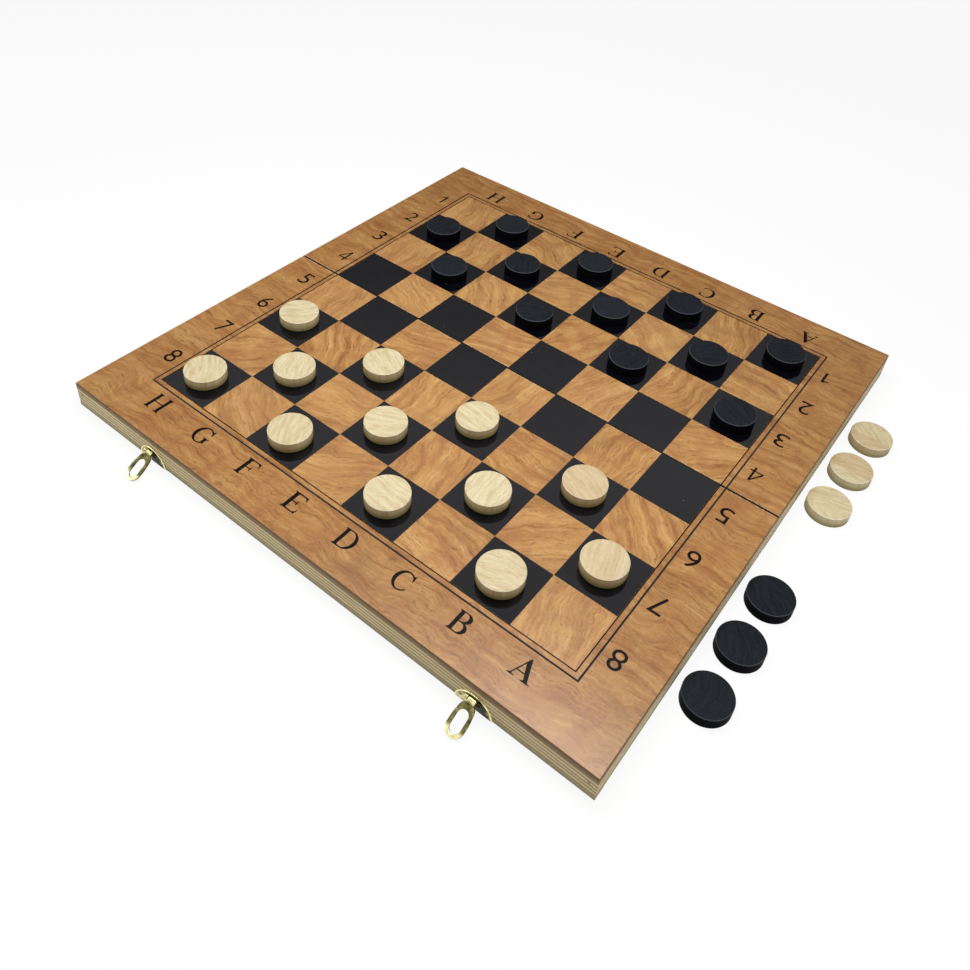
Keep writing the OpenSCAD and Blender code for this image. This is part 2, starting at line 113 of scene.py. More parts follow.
def put(tree, kind, inputs=None, **settings):
    """Places a node, sets what it is, and feeds its sockets with values or with other sockets."""
    node = tree.nodes.new(kind)
    for name, value in settings.items():
        setattr(node, name, value)
    for name, value in (inputs or {}).items():
        socket = node.inputs[name]
        if isinstance(value, bpy.types.NodeSocket):
            tree.links.new(value, socket)
        else:
            socket.default_value = value
    return node


def maths(tree, operation, a, b=0.0):
    return put(tree, "ShaderNodeMath", {0: a, 1: b}, operation=operation).outputs[0]


def times(tree, a, b):
    return maths(tree, "MULTIPLY", a, b)


def added(tree, a, b):
    return maths(tree, "ADD", a, b)


def minus(tree, a, b):
    return maths(tree, "SUBTRACT", a, b)


def ramp(tree, value, low, high, to_low=0.0, to_high=1.0, smooth=True):
    return put(tree, "ShaderNodeMapRange", {"Value": value, "From Min": low, "From Max": high,
                                            "To Min": to_low, "To Max": to_high},
               interpolation_type="SMOOTHSTEP" if smooth else "LINEAR").outputs["Result"]


def blend(tree, amount, a, b):
    """Mixes two colours: all a at 0, all b at 1."""
    return put(tree, "ShaderNodeMix", {0: amount, 6: a, 7: b}, data_type="RGBA").outputs[2]


def noise(tree, where, scale, detail=2.0, roughness=0.5, output="Fac"):
    return put(tree, "ShaderNodeTexNoise", {"Vector": where, "Scale": scale, "Detail": detail,
                                            "Roughness": roughness}).outputs[output]


def mapping(tree, where, turn=(0, 0, 0), scale=(1, 1, 1)):
    return put(tree, "ShaderNodeMapping", {"Vector": where, "Rotation": turn, "Scale": scale}).outputs[0]


def stretched(tree, where, scale, detail=2.0, roughness=0.5):
    """Noise with a scale of its own along each axis."""
    return noise(tree, mapping(tree, where, scale=scale), 1.0, detail, roughness)


def stain(tree, colour, hexcode, amount, strength=1.0):
    """Lays a written colour over another one, by an amount and a strength."""
    return blend(tree, times(tree, amount, strength), colour, paint(hexcode))


def between(tree, value, low, high, low_hex, high_hex):
    """A colour between two written ones, as a value runs from low to high."""
    return blend(tree, ramp(tree, value, low, high), paint(low_hex), paint(high_hex))


def grade(tree, value, stops):
    """A colour graded along a value, from written colours at their places."""
    tone = put(tree, "ShaderNodeValToRGB", {"Fac": value})
    elements = tone.color_ramp.elements
    (first, first_hex), *others, (last, last_hex) = stops
    elements[0].position, elements[0].color = first, paint(first_hex)
    elements[1].position, elements[1].color = last, paint(last_hex)
    for place, hexcode in others:
        elements.new(place).color = paint(hexcode)
    return tone.outputs[0]


def vector_maths(tree, operation, a, b):
    return put(tree, "ShaderNodeVectorMath", {0: a, 1: b}, operation=operation).outputs[0]


def scaled(tree, vector, factor):
    return put(tree, "ShaderNodeVectorMath", {0: vector, "Scale": factor}, operation="SCALE").outputs[0]


def level_vector(tree, x, y):
    return put(tree, "ShaderNodeCombineXYZ", {0: x, 1: y}).outputs[0]


def millimetres(tree):
    """Object coordinates, in millimetres."""
    return scaled(tree, put(tree, "ShaderNodeTexCoord").outputs["Object"], 1 / MM)


def split(tree, vector):
    return put(tree, "ShaderNodeSeparateXYZ", {0: vector}).outputs


def group(name, inputs, outputs):
    """A node group with named sockets."""
    tree = bpy.data.node_groups.new(name, "ShaderNodeTree")
    for label, kind, value in inputs:
        socket = tree.interface.new_socket(name=label, in_out="INPUT", socket_type="NodeSocket" + kind)
        if value is not None:
            socket.default_value = value
    for label, kind in outputs:
        tree.interface.new_socket(name=label, in_out="OUTPUT", socket_type="NodeSocket" + kind)
    return tree, tree.nodes.new("NodeGroupInput").outputs, tree.nodes.new("NodeGroupOutput").inputs


def use(tree, shared, inputs):
    return put(tree, "ShaderNodeGroup", inputs, node_tree=shared).outputs


def material(name):
    """An empty material and its shader."""
    made = bpy.data.materials.new(name)
    made.use_nodes = True
    tree = made.node_tree
    shader = tree.nodes["Principled BSDF"]
    return made, tree, shader


def finish(tree, shader, colour, roughness, height=None, depth=0.05, metallic=None, **constants):
    """Feeds a material's shader. depth is the relief in millimetres."""
    for socket, value in (("Base Color", colour), ("Roughness", roughness), ("Metallic", metallic)):
        if isinstance(value, bpy.types.NodeSocket):
            tree.links.new(value, shader.inputs[socket])
        elif value is not None:
            shader.inputs[socket].default_value = value
    for socket, value in constants.items():
        shader.inputs[socket.replace("_", " ")].default_value = value
    if height is not None:
        bump = put(tree, "ShaderNodeBump", {"Strength": 1.0, "Distance": depth * MM, "Height": height})
        tree.links.new(bump.outputs[0], shader.inputs["Normal"])


def dress(made, *names):
    for name in names:
        NODES[name].data.materials.clear()
        NODES[name].data.materials.append(made)


# ---- shared effects -----------------------------------------------------------------------------

def make_square_pick():
    """Turns and moves a pattern anew in every square of the chequered field."""
    far_apart = 900.0                                   # reach of those moves, in millimetres
    tree, given, out = group("square_pick", [("Where", "Vector", None), ("Inside only", "Float", 1.0)],
                             [("Pattern", "Vector"), ("Tone", "Float"), ("Field", "Float")])
    x, y, _ = split(tree, given["Where"])
    column = maths(tree, "DIVIDE", minus(tree, x, (BOARD_X - FIELD) / MM), SQUARE / MM)
    row = maths(tree, "DIVIDE", minus(tree, y, (FOLD_Y - FIELD) / MM), SQUARE / MM)
    cell = level_vector(tree, maths(tree, "FLOOR", column), maths(tree, "FLOOR", row))
    luck = put(tree, "ShaderNodeTexWhiteNoise", {"Vector": cell}, noise_dimensions="3D").outputs
    middle = level_vector(tree, minus(tree, maths(tree, "FRACT", column), 0.5),
                          minus(tree, maths(tree, "FRACT", row), 0.5))
    turned = put(tree, "ShaderNodeVectorRotate",
                 {"Vector": scaled(tree, middle, SQUARE / MM),
                  "Angle": times(tree, luck["Value"], FULL_TURN)},
                 rotation_type="Z_AXIS").outputs[0]
    picked = vector_maths(tree, "ADD", turned, scaled(tree, luck["Color"], far_apart))
    across = maths(tree, "ABSOLUTE", minus(tree, x, BOARD_X / MM))
    along = maths(tree, "ABSOLUTE", minus(tree, y, FOLD_Y / MM))
    field = times(tree, maths(tree, "LESS_THAN", across, FIELD / MM),
                  maths(tree, "LESS_THAN", along, FIELD / MM))
    chosen = maths(tree, "MAXIMUM", field, minus(tree, 1.0, given["Inside only"]))
    pattern = put(tree, "ShaderNodeMix", {0: chosen, 4: given["Where"], 5: picked}, data_type="VECTOR")
    tree.links.new(pattern.outputs[1], out["Pattern"])
    tree.links.new(split(tree, luck["Color"])[1], out["Tone"])
    tree.links.new(field, out["Field"])
    return tree


def make_figured_film():
    """The soft wavy bands and fine dark flecks of the printed wood film; the grain runs along X."""
    tree, given, out = group("figured_film", [("Pattern", "Vector", None)],
                             [("Figure", "Float"), ("Flecks", "Float"), ("Fine", "Float")])
    fleck_pitch = 2.1                                   # millimetres between two rows of flecks

    def pushed(where, scale, detail, reach):
        """Moves a pattern about by a noise, by so many millimetres in each direction."""
        swing = noise(tree, given["Pattern"], scale, detail, output="Color")
        swing = vector_maths(tree, "SUBTRACT", swing, (0.5, 0.5, 0.5))
        return vector_maths(tree, "ADD", where, vector_maths(tree, "MULTIPLY", swing, reach))

    wander = pushed(given["Pattern"], 0.032, 1.0, (6, 18, 0))
    wavy = pushed(wander, 0.16, 2.0, (2.0, 4.0, 0))
    bands = stretched(tree, wavy, (0.018, 0.19, 0.05), 2.0, 0.5)
    streaks = stretched(tree, wavy, (0.08, 0.62, 0.05), 2.0, 0.5)
    figure = added(tree, times(tree, bands, 0.58), times(tree, streaks, 0.42))
    tree.links.new(ramp(tree, figure, 0.33, 0.67, smooth=False), out["Figure"])
    # Flecks: thin dark broken lines that follow each other round the figure, crowded in some places.
    grain = pushed(wavy, 0.50, 1.0, (0.5, 1.2, 0))
    shift = times(tree, stretched(tree, grain, (0.04, 0.22, 0.1), 1.0), 2.6)
    rows = maths(tree, "DIVIDE", split(tree, grain)[1], fleck_pitch)
    phase = maths(tree, "FRACT", added(tree, rows, shift))
    line = ramp(tree, maths(tree, "ABSOLUTE", minus(tree, phase, 0.5)), 0.07, 0.20, 1.0, 0.0)
    broken = ramp(tree, stretched(tree, grain, (0.30, 1.0, 0.3), 2.0, 0.6), 0.44, 0.58)
    crowd = ramp(tree, noise(tree, given["Pattern"], 0.060, 2.0), 0.40, 0.58, 0.20, 1.0)
    tree.links.new(times(tree, times(tree, line, broken), crowd), out["Flecks"])
    tree.links.new(stretched(tree, wavy, (0.8, 2.6, 0.5), 2.0, 0.6), out["Fine"])
    return tree


def make_sawn_wood():
    """Growth rings, grain lines and pores of solid wood; the grain runs along X."""
    tree, given, out = group("sawn_wood", [("Pattern", "Vector", None), ("Spacing", "Float", 2.2)],
                             [("Rings", "Float"), ("Lines", "Float"), ("Pores", "Float")])
    drift = noise(tree, mapping(tree, given["Pattern"], scale=(0.4, 1, 1)), 0.06, 2.0, output="Color")
    bent = vector_maths(tree, "ADD", given["Pattern"], vector_maths(tree, "MULTIPLY", drift, (0, 8, 5)))
    rings = maths(tree, "DIVIDE", split(tree, bent)[1], given["Spacing"])
    uneven = stretched(tree, bent, (0.02, 0.35, 0.3), 3.0, 0.6)
    phase = maths(tree, "FRACT", added(tree, rings, times(tree, uneven, 2.2)))
    tree.links.new(maths(tree, "POWER", phase, 2.4), out["Rings"])
    tree.links.new(stretched(tree, bent, (0.06, 1.7, 1.7), 3.0, 0.6), out["Lines"])
    short = stretched(tree, bent, (0.5, 5.0, 5.0), 1.0)
    tree.links.new(ramp(tree, short, 0.62, 0.72), out["Pores"])
    return tree


def make_dust():
    """Sparse specks of dust and fine scuffs, as left on handled print."""
    tree, given, out = group("dust_and_scuffs", [("Where", "Vector", None)],
                             [("Specks", "Float"), ("Scuffs", "Float")])
    dots = put(tree, "ShaderNodeTexVoronoi", {"Vector": given["Where"], "Scale": 0.16}).outputs
    size = put(tree, "ShaderNodeSeparateColor", {0: dots["Color"]}).outputs[0]
    radius = times(tree, ramp(tree, size, 0.72, 1.0), 0.045)
    tree.links.new(maths(tree, "LESS_THAN", dots["Distance"], radius), out["Specks"])
    slanting = mapping(tree, given["Where"], turn=(0, 0, 0.6), scale=(0.03, 0.9, 0.5))
    scuffs = noise(tree, slanting, 1.0, 4.0, 0.7)
    patches = noise(tree, given["Where"], 0.03, 2.0)
    scuffed = times(tree, ramp(tree, scuffs, 0.55, 0.75), ramp(tree, patches, 0.45, 0.65))
    tree.links.new(scuffed, out["Scuffs"])
    return tree


SQUARE_PICK = make_square_pick()
FIGURED_FILM = make_figured_film()
SAWN_WOOD = make_sawn_wood()
DUST = make_dust()


# ---- finishes -----------------------------------------------------------------------------------

def film_finish():
    """Printed wood film on a hardboard panel: figured face, brown sawn edge, plain lining below."""
    made, tree, shader = material("figured_wood_film")
    where = millimetres(tree)
    _, y, z = split(tree, where)
    seam_highlight_band, seam_shade_band = 1.30, 0.80                   # millimetres from the middle of the seam
    face, under_face = FACE_Z / MM, PANEL_Z / MM
    pick = use(tree, SQUARE_PICK, {"Where": where, "Inside only": 1.0})
    film = use(tree, FIGURED_FILM, {"Pattern": pick["Pattern"]})
    colour = grade(tree, film["Figure"], [(0.0, "9A622C"), (0.5, "C68F50"), (1.0, "E0B06C")])
    clouds = mapping(tree, pick["Pattern"], turn=(0, 0, 0.9), scale=(0.09, 0.035, 0.05))
    colour = stain(tree, colour, "A8643A", ramp(tree, noise(tree, clouds, 1.0, 2.0), 0.48, 0.64, 0.0, 0.34))
    colour = stain(tree, colour, "8E5A30", ramp(tree, film["Fine"], 0.38, 0.68), 0.16)
    colour = stain(tree, colour, "64401F", film["Flecks"], 0.58)
    # each square is a little lighter or darker than the next, the border a little redder
    lift = ramp(tree, pick["Tone"], 0.0, 1.0, 0.0, 0.20, smooth=False)
    colour = stain(tree, colour, "E2B074", lift, pick["Field"])
    colour = stain(tree, colour, "945E26", minus(tree, 1.0, pick["Field"]), 0.26)
    smudge = ramp(tree, noise(tree, mapping(tree, where, scale=(1, 1, 0.1)), 0.022, 3.0, 0.6), 0.56, 0.72)
    colour = stain(tree, colour, "7C5F38", smudge, 0.26)
    # edge of the board: grey-brown fibre with fine level lines
    fibre = stretched(tree, where, (0.05, 0.05, 2.6), 4.0, 0.7)
    edge = between(tree, z, under_face, face, "A48C62", "6E5238")
    edge = stain(tree, edge, "5C4430", ramp(tree, fibre, 0.35, 0.65, 0.0, 0.4))
    lining = use(tree, SAWN_WOOD, {"Pattern": where, "Spacing": 5.0})
    under = between(tree, lining["Lines"], 0.3, 0.7, "A87A4C", "C99F6C")
    # a pale line beside the seam: painted highlight of its eased edge, broken up like chipped wear
    off_fold = maths(tree, "ABSOLUTE", minus(tree, y, FOLD_Y / MM))
    chips = ramp(tree, stretched(tree, where, (0.5, 0.2, 0.2), 3.0, 0.6), 0.42, 0.56)
    painted_light_and_wear = times(tree, maths(tree, "LESS_THAN", off_fold, seam_highlight_band), chips)
    colour = stain(tree, colour, "E6C596", painted_light_and_wear, 0.6)
    # the film is only on the face; at the seam a dark band is painted shade of the gap between the halves
    off_face = minus(tree, 1.0, maths(tree, "GREATER_THAN", z, face - 0.12))
    colour = blend(tree, off_face, colour, edge)
    colour = stain(tree, colour, "1C120C", maths(tree, "LESS_THAN", off_fold, seam_shade_band),
                   maths(tree, "GREATER_THAN", z, face - 0.8))
    colour = blend(tree, maths(tree, "LESS_THAN", z, under_face + 0.02), colour, under)
    rough = added(tree, ramp(tree, noise(tree, where, 0.5, 3.0), 0.3, 0.7, 0.23, 0.32),
                  times(tree, off_face, 0.4))
    pebbles = added(tree, noise(tree, where, 0.35, 2.0), noise(tree, where, 1.3, 1.0))
    height = minus(tree, pebbles, film["Flecks"])
    finish(tree, shader, colour, rough, height, 0.006, Specular_IOR_Level=0.30)
    dress(made, "near_panel", "far_panel")


def black_print_finish():
    """Smooth black squares and lines: a clear sheen, a few specks and faint scuffs."""
    made, tree, shader = material("black_squares_print")
    where = millimetres(tree)
    dust = use(tree, DUST, {"Where": where})
    colour = between(tree, noise(tree, where, 0.08, 3.0), 0.3, 0.7, "06060D", "0B0B13")
    colour = stain(tree, colour, "6E6A68", dust["Scuffs"], 0.10)
    colour = stain(tree, colour, "B8B2A8", dust["Specks"], 0.55)
    rough = ramp(tree, dust["Scuffs"], 0.0, 1.0, 0.07, 0.16)
    finish(tree, shader, colour, rough, noise(tree, where, 0.22, 2.0), 0.004, Specular_IOR_Level=0.31)
    dress(made, "near_print", "far_print")


def ink_finish():
    """Printed coordinates and the thin line: flatter black, a little broken up."""
    made, tree, shader = material("printed_ink")
    where = millimetres(tree)
    colour = between(tree, noise(tree, where, 2.2, 3.0), 0.45, 0.75, "0A0708", "1A130F")
    rough = ramp(tree, noise(tree, where, 0.8), 0.3, 0.7, 0.28, 0.4)
    finish(tree, shader, colour, rough, Specular_IOR_Level=0.06)
    return made


def points_finish(name, dark, light, *nodes):
    """Backgammon points printed on the lining, with a faint grain."""
    made, tree, shader = material(name)
    where = mapping(tree, millimetres(tree), turn=(0, 0, FULL_TURN / 4))
    wood = use(tree, SAWN_WOOD, {"Pattern": where, "Spacing": 4.0})
    colour = between(tree, wood["Lines"], 0.3, 0.7, dark, light)
    finish(tree, shader, colour, ramp(tree, wood["Lines"], 0.2, 0.8, 0.36, 0.5), wood["Lines"], 0.01)
    dress(made, *nodes)


def rail_finish():
    """Pale plywood rails: level layers on the long faces, brown glue lines, a sanded surface."""
    made, tree, shader = material("plywood_rail")
    where = millimetres(tree)
    z = split(tree, where)[2]
    layer, lowest_layer = 2.6, 5.4                      # a layer's thickness, and the lowest one's top
    rim, darkened_height = RIM_Z / MM, 0.9
    sway = stretched(tree, where, (0.012, 0.012, 0.1), 3.0)
    level = added(tree, z, times(tree, sway, 1.2))
    phase = maths(tree, "FRACT", maths(tree, "DIVIDE", level, layer))
    off_glue = maths(tree, "ABSOLUTE", minus(tree, phase, 0.5))
    glue = ramp(tree, off_glue, 0.10, 0.24, 1.0, 0.0)
    grain = stretched(tree, where, (0.05, 0.05, 3.4), 4.0, 0.65)
    pale = between(tree, grain, 0.35, 0.68, "CCB888", "F6E4B6")
    dark = between(tree, grain, 0.35, 0.68, "745A38", "987E54")
    colour = blend(tree, times(tree, glue, 0.85), pale, dark)
    # the lowest layer is broad and a dull olive
    lowest = ramp(tree, level, lowest_layer, lowest_layer + 1.0, 0.80, 0.0)
    colour = stain(tree, colour, "A09472", lowest)
    specks = ramp(tree, stretched(tree, where, (0.25, 0.25, 4.0), 2.0), 0.62, 0.72)
    colour = stain(tree, colour, "5E4B30", specks, 0.35)
    # darker over the lowest 0.9 mm, above the rims
    colour = stain(tree, colour, "8B7550", ramp(tree, z, rim, rim + darkened_height, 0.35, 0.0))
    rough = ramp(tree, grain, 0.3, 0.7, 0.55, 0.75)
    finish(tree, shader, colour, rough, grain, 0.05, Specular_IOR_Level=0.35)
    dress(made, *[half + part for half in ("near_", "far_")
                  for part in ("outer_rail", "spine_rail", "left_rail", "right_rail")])


def brass_finish(name, bright, dull, rough_low, rough_high, *nodes):
    """Pressed brass-plated sheet: bright where handled, dull and brown in patches, fine rolling lines."""
    made, tree, shader = material(name)
    where = millimetres(tree)
    patches = noise(tree, where, 0.32, 4.0, 0.65)
    lines = noise(tree, mapping(tree, where, turn=ROLLED, scale=(0.4, 9, 9)), 1.0, 3.0)
    colour = between(tree, patches, 0.48, 0.72, bright, dull)
    spots = ramp(tree, noise(tree, where, 2.6, 2.0), 0.66, 0.74)
    colour = stain(tree, colour, "5A4A24", spots, 0.6)
    rough = added(tree, ramp(tree, patches, 0.4, 0.7, rough_low, rough_high), times(tree, lines, 0.06))
    finish(tree, shader, colour, rough, added(tree, lines, patches), 0.012,
           metallic=ramp(tree, spots, 0.0, 1.0, 1.0, 0.5))
    dress(made, *nodes)
    return made


def tongue_shade_and_highlights(tree, out, up):
    """Painted light on a tongue: painted shade on its turned walls, painted highlights at its end and beside
    its pin.
    """
    lean = math.radians(-JOINTS["left_tongue_swing"]["range_deg"][0])
    front = minus(tree, times(tree, up, math.sin(lean)), times(tree, out, math.cos(lean)))
    rise = added(tree, times(tree, out, math.sin(lean)), times(tree, up, math.cos(lean)))
    along = times(tree, rise, -1.0)
    # painted shade on the turned walls
    shaded_walls = ramp(tree, front, TONGUE_FRONT - 0.95, TONGUE_FRONT - 0.20, 1.0, 0.0)
    # painted highlights at the end and beside the pin
    painted_highlight = maths(tree, "MAXIMUM", ramp(tree, along, 13.5, 16.5), ramp(tree, along, 0.6, 2.4, 1.0, 0.0))
    return maths(tree, "MAXIMUM", shaded_walls, ramp(tree, painted_highlight, 0.0, 1.0, 0.72, 0.05, smooth=False))


def plate_shade_and_highlights(tree, across, z):
    """Painted light on a plate: a painted highlight along its raised rim, painted shade right of the middle.
    """
    from_middle = level_vector(tree, across, minus(tree, z, plate_low.z / MM))
    ring = put(tree, "ShaderNodeVectorMath", {0: from_middle}, operation="LENGTH").outputs["Value"]
    # painted highlight along the raised rim
    bead = ramp(tree, ring, PLATE_RADIUS - 0.75, PLATE_RADIUS - 0.60)
    # painted shade right of the knuckle
    painted_shade = times(tree, ramp(tree, across, -3.5, -0.5), ramp(tree, across, 8.5, 10.5, 1.0, 0.0))
    return minus(tree, added(tree, times(tree, painted_shade, 0.65), 0.38), times(tree, bead, 0.9))


def hasp_finish(name, tongue, *nodes):
    """Pale brass on pressed steel, darker in tarnished patches, with painted highlights on the raised forms
    and painted shade on walls and beside the knuckle.
    """
    made, tree, shader = material(name)
    where = millimetres(tree)
    x, y, z = split(tree, where)
    left, right = (Vector(JOINTS[side + "_tongue_swing"]["pos_m"]) / MM for side in ("left", "right"))
    patches = noise(tree, where, 0.36, 3.0, 0.6)
    lines = noise(tree, mapping(tree, where, turn=ROLLED, scale=(0.5, 9, 9)), 1.0, 3.0)
    # dull holds painted shade and painted highlights, placed by the form
    if tongue:
        dull = tongue_shade_and_highlights(tree, minus(tree, y, left.y), minus(tree, z, left.z))
    else:
        on_right = maths(tree, "GREATER_THAN", x, (left.x + right.x) / 2)
        across = minus(tree, minus(tree, x, left.x), times(tree, on_right, right.x - left.x))
        dull = plate_shade_and_highlights(tree, across, z)
    # painted highlights and painted shade from the masks above, mixed with tarnish patches
    painted_light_and_wear = added(tree, dull, times(tree, minus(tree, patches, 0.5), 1.2))
    colour = grade(tree, painted_light_and_wear, [(0.05, "F6EFB6"), (0.35, "BDB27C"), (0.65, "6E683E"), (1.0, "2C2814")])
    rough = added(tree, ramp(tree, painted_light_and_wear, 0.2, 0.9, 0.16, 0.42), times(tree, lines, 0.06))
    finish(tree, shader, colour, rough, added(tree, lines, patches), 0.015, metallic=1.0)
    dress(made, *nodes)
    return made


def disc_finish(name, nodes, low, high, ring, pore, cloud, rim, side, side_shade, rough, rings, relief,
                sheen):
    """Turned wooden men: each has its own grain direction; a painted highlight on the rim, painted shade on
    the side.

    low to side are written colours; side_shade is how strong the side's painted shade is at the foot and
    higher up."""
    made, tree, shader = material(name)
    where = millimetres(tree)
    pick = use(tree, SQUARE_PICK, {"Where": where, "Inside only": 0.0})
    grain = mapping(tree, pick["Pattern"], scale=(1.6, 0.8, 0.8))
    wood = use(tree, SAWN_WOOD, {"Pattern": grain, "Spacing": 3.4})
    colour = between(tree, wood["Lines"], 0.25, 0.75, low, high)
    clouds = stretched(tree, pick["Pattern"], (0.07, 0.22, 0.2), 3.0, 0.6)
    colour = stain(tree, colour, cloud, ramp(tree, clouds, 0.46, 0.66), 0.40)
    colour = stain(tree, colour, ring, wood["Rings"], rings)
    colour = stain(tree, colour, pore, wood["Pores"], 0.5)
    colour = stain(tree, colour, ring, ramp(tree, pick["Tone"], 0.5, 1.0, 0.0, 0.40))
    # height over whatever the man stands on, the board or the table
    z, face = split(tree, where)[2], FACE_Z / MM
    on_board = maths(tree, "GREATER_THAN", z, face - 1.0)
    up = minus(tree, z, times(tree, on_board, face))
    top = (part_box(nodes[0])[1].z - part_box(nodes[0])[0].z) / MM
    # painted shade: the side colour below the top edge, strongest at the foot
    below = ramp(tree, up, top - 0.50, top - 0.30, 1.0, 0.0, smooth=False)
    colour = stain(tree, colour, side, below, ramp(tree, up, 0.0, 0.75 * top, *side_shade))
    # painted highlight: the pale rim colour on the eased top edge
    edge = times(tree, minus(tree, 1.0, below), ramp(tree, up, top - 0.06, top - 0.01, 0.7, 0.0))
    colour = stain(tree, colour, rim, edge)
    height = added(tree, times(tree, wood["Lines"], 0.7), times(tree, wood["Rings"], -0.3))
    rough = ramp(tree, wood["Lines"], 0.2, 0.8, rough - 0.06, rough + 0.08)
    finish(tree, shader, colour, rough, height, relief, Specular_IOR_Level=sheen)
    dress(made, *nodes)


# ---- new pieces ---------------------------------------------------------------------------------

def new_object(name, shape, made):
    """Makes an object of a finished bmesh; its place is in its mesh."""
    mesh = bpy.data.meshes.new(name)
    shape.to_mesh(mesh)
    shape.free()
    mesh.materials.append(made)
    obj = bpy.data.objects.new(name, mesh)
    bpy.context.scene.collection.objects.link(obj)
    return obj


def piece(name, shape, made, body, smooth=False):
    """A new piece of the object, which rides with a body."""
    obj = new_object(name, shape, made)
    for face in obj.data.polygons:
        face.use_smooth = smooth
    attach(obj, body)
    return obj


def bar(shape, low, high):
    """Adds a flat bar between two corners."""
    place = Matrix.Translation((low + high) / 2) @ Matrix.Diagonal((*(high - low), 1.0))
    bmesh.ops.create_cube(shape, size=1.0, matrix=place)


def thin_line(name, side, made, body):
    """The fine line at the field's edge, one half of it: three bars that meet end to end."""
    shape = bmesh.new()
    bottom, top = FACE_Z - PRINT_SINK, FACE_Z + INK
    left, right = BOARD_X - FIELD - THIN_LINE, BOARD_X + FIELD
    outer_y, seam_y = FOLD_Y + side * (FIELD + THIN_LINE), FOLD_Y + side * SEAM_HALF
    inner_y = outer_y - side * THIN_LINE
    bar(shape, Vector((left, min(outer_y, inner_y), bottom)),
        Vector((right + THIN_LINE, max(outer_y, inner_y), top)))
    for x in (left, right):
        bar(shape, Vector((x, min(seam_y, inner_y), bottom)),
            Vector((x + THIN_LINE, max(seam_y, inner_y), top)))
    return piece(name, shape, made, body)


def arc(cx, cy, rx, ry, start, end, steps=14):
    """Points of an ellipse, from one angle to another, in degrees."""
    angles = [math.radians(start + (end - start) * i / steps) for i in range(steps + 1)]
    return [(cx + rx * math.cos(angle), cy + ry * math.sin(angle)) for angle in angles]


SERIF, FOOT, STEM, HAIR = 0.075, 0.042, 0.16, 0.065      # shares of a letter's height


def foot(x0, x1):
    """The foot of a stem, from its left side to its right side, along the ground."""
    return [(x0, 0.10), (x0 - 0.012, 0.062), (x0 - 0.04, FOOT + 0.006), (x0 - SERIF, FOOT), (x0 - SERIF, 0),
            (x1 + SERIF, 0), (x1 + SERIF, FOOT), (x1 + 0.04, FOOT + 0.006), (x1 + 0.012, 0.062), (x1, 0.10)]


def head(x1, x0):
    """The head of a stem, from its right side to its left side."""
    return [(x, 1 - y) for x, y in reversed(foot(x0, x1))]


def arm(x, y, reach, lift, up):
    """An arm of E or F with its beak; up is 1 where the beak points up, -1 where it points down."""
    return [(x + reach, y), (x + reach + 0.035, y + up * lift), (x + reach + 0.008, y + up * lift),
            (x + reach - 0.05, y + up * (HAIR + 0.05)), (x + reach - 0.12, y + up * HAIR)]


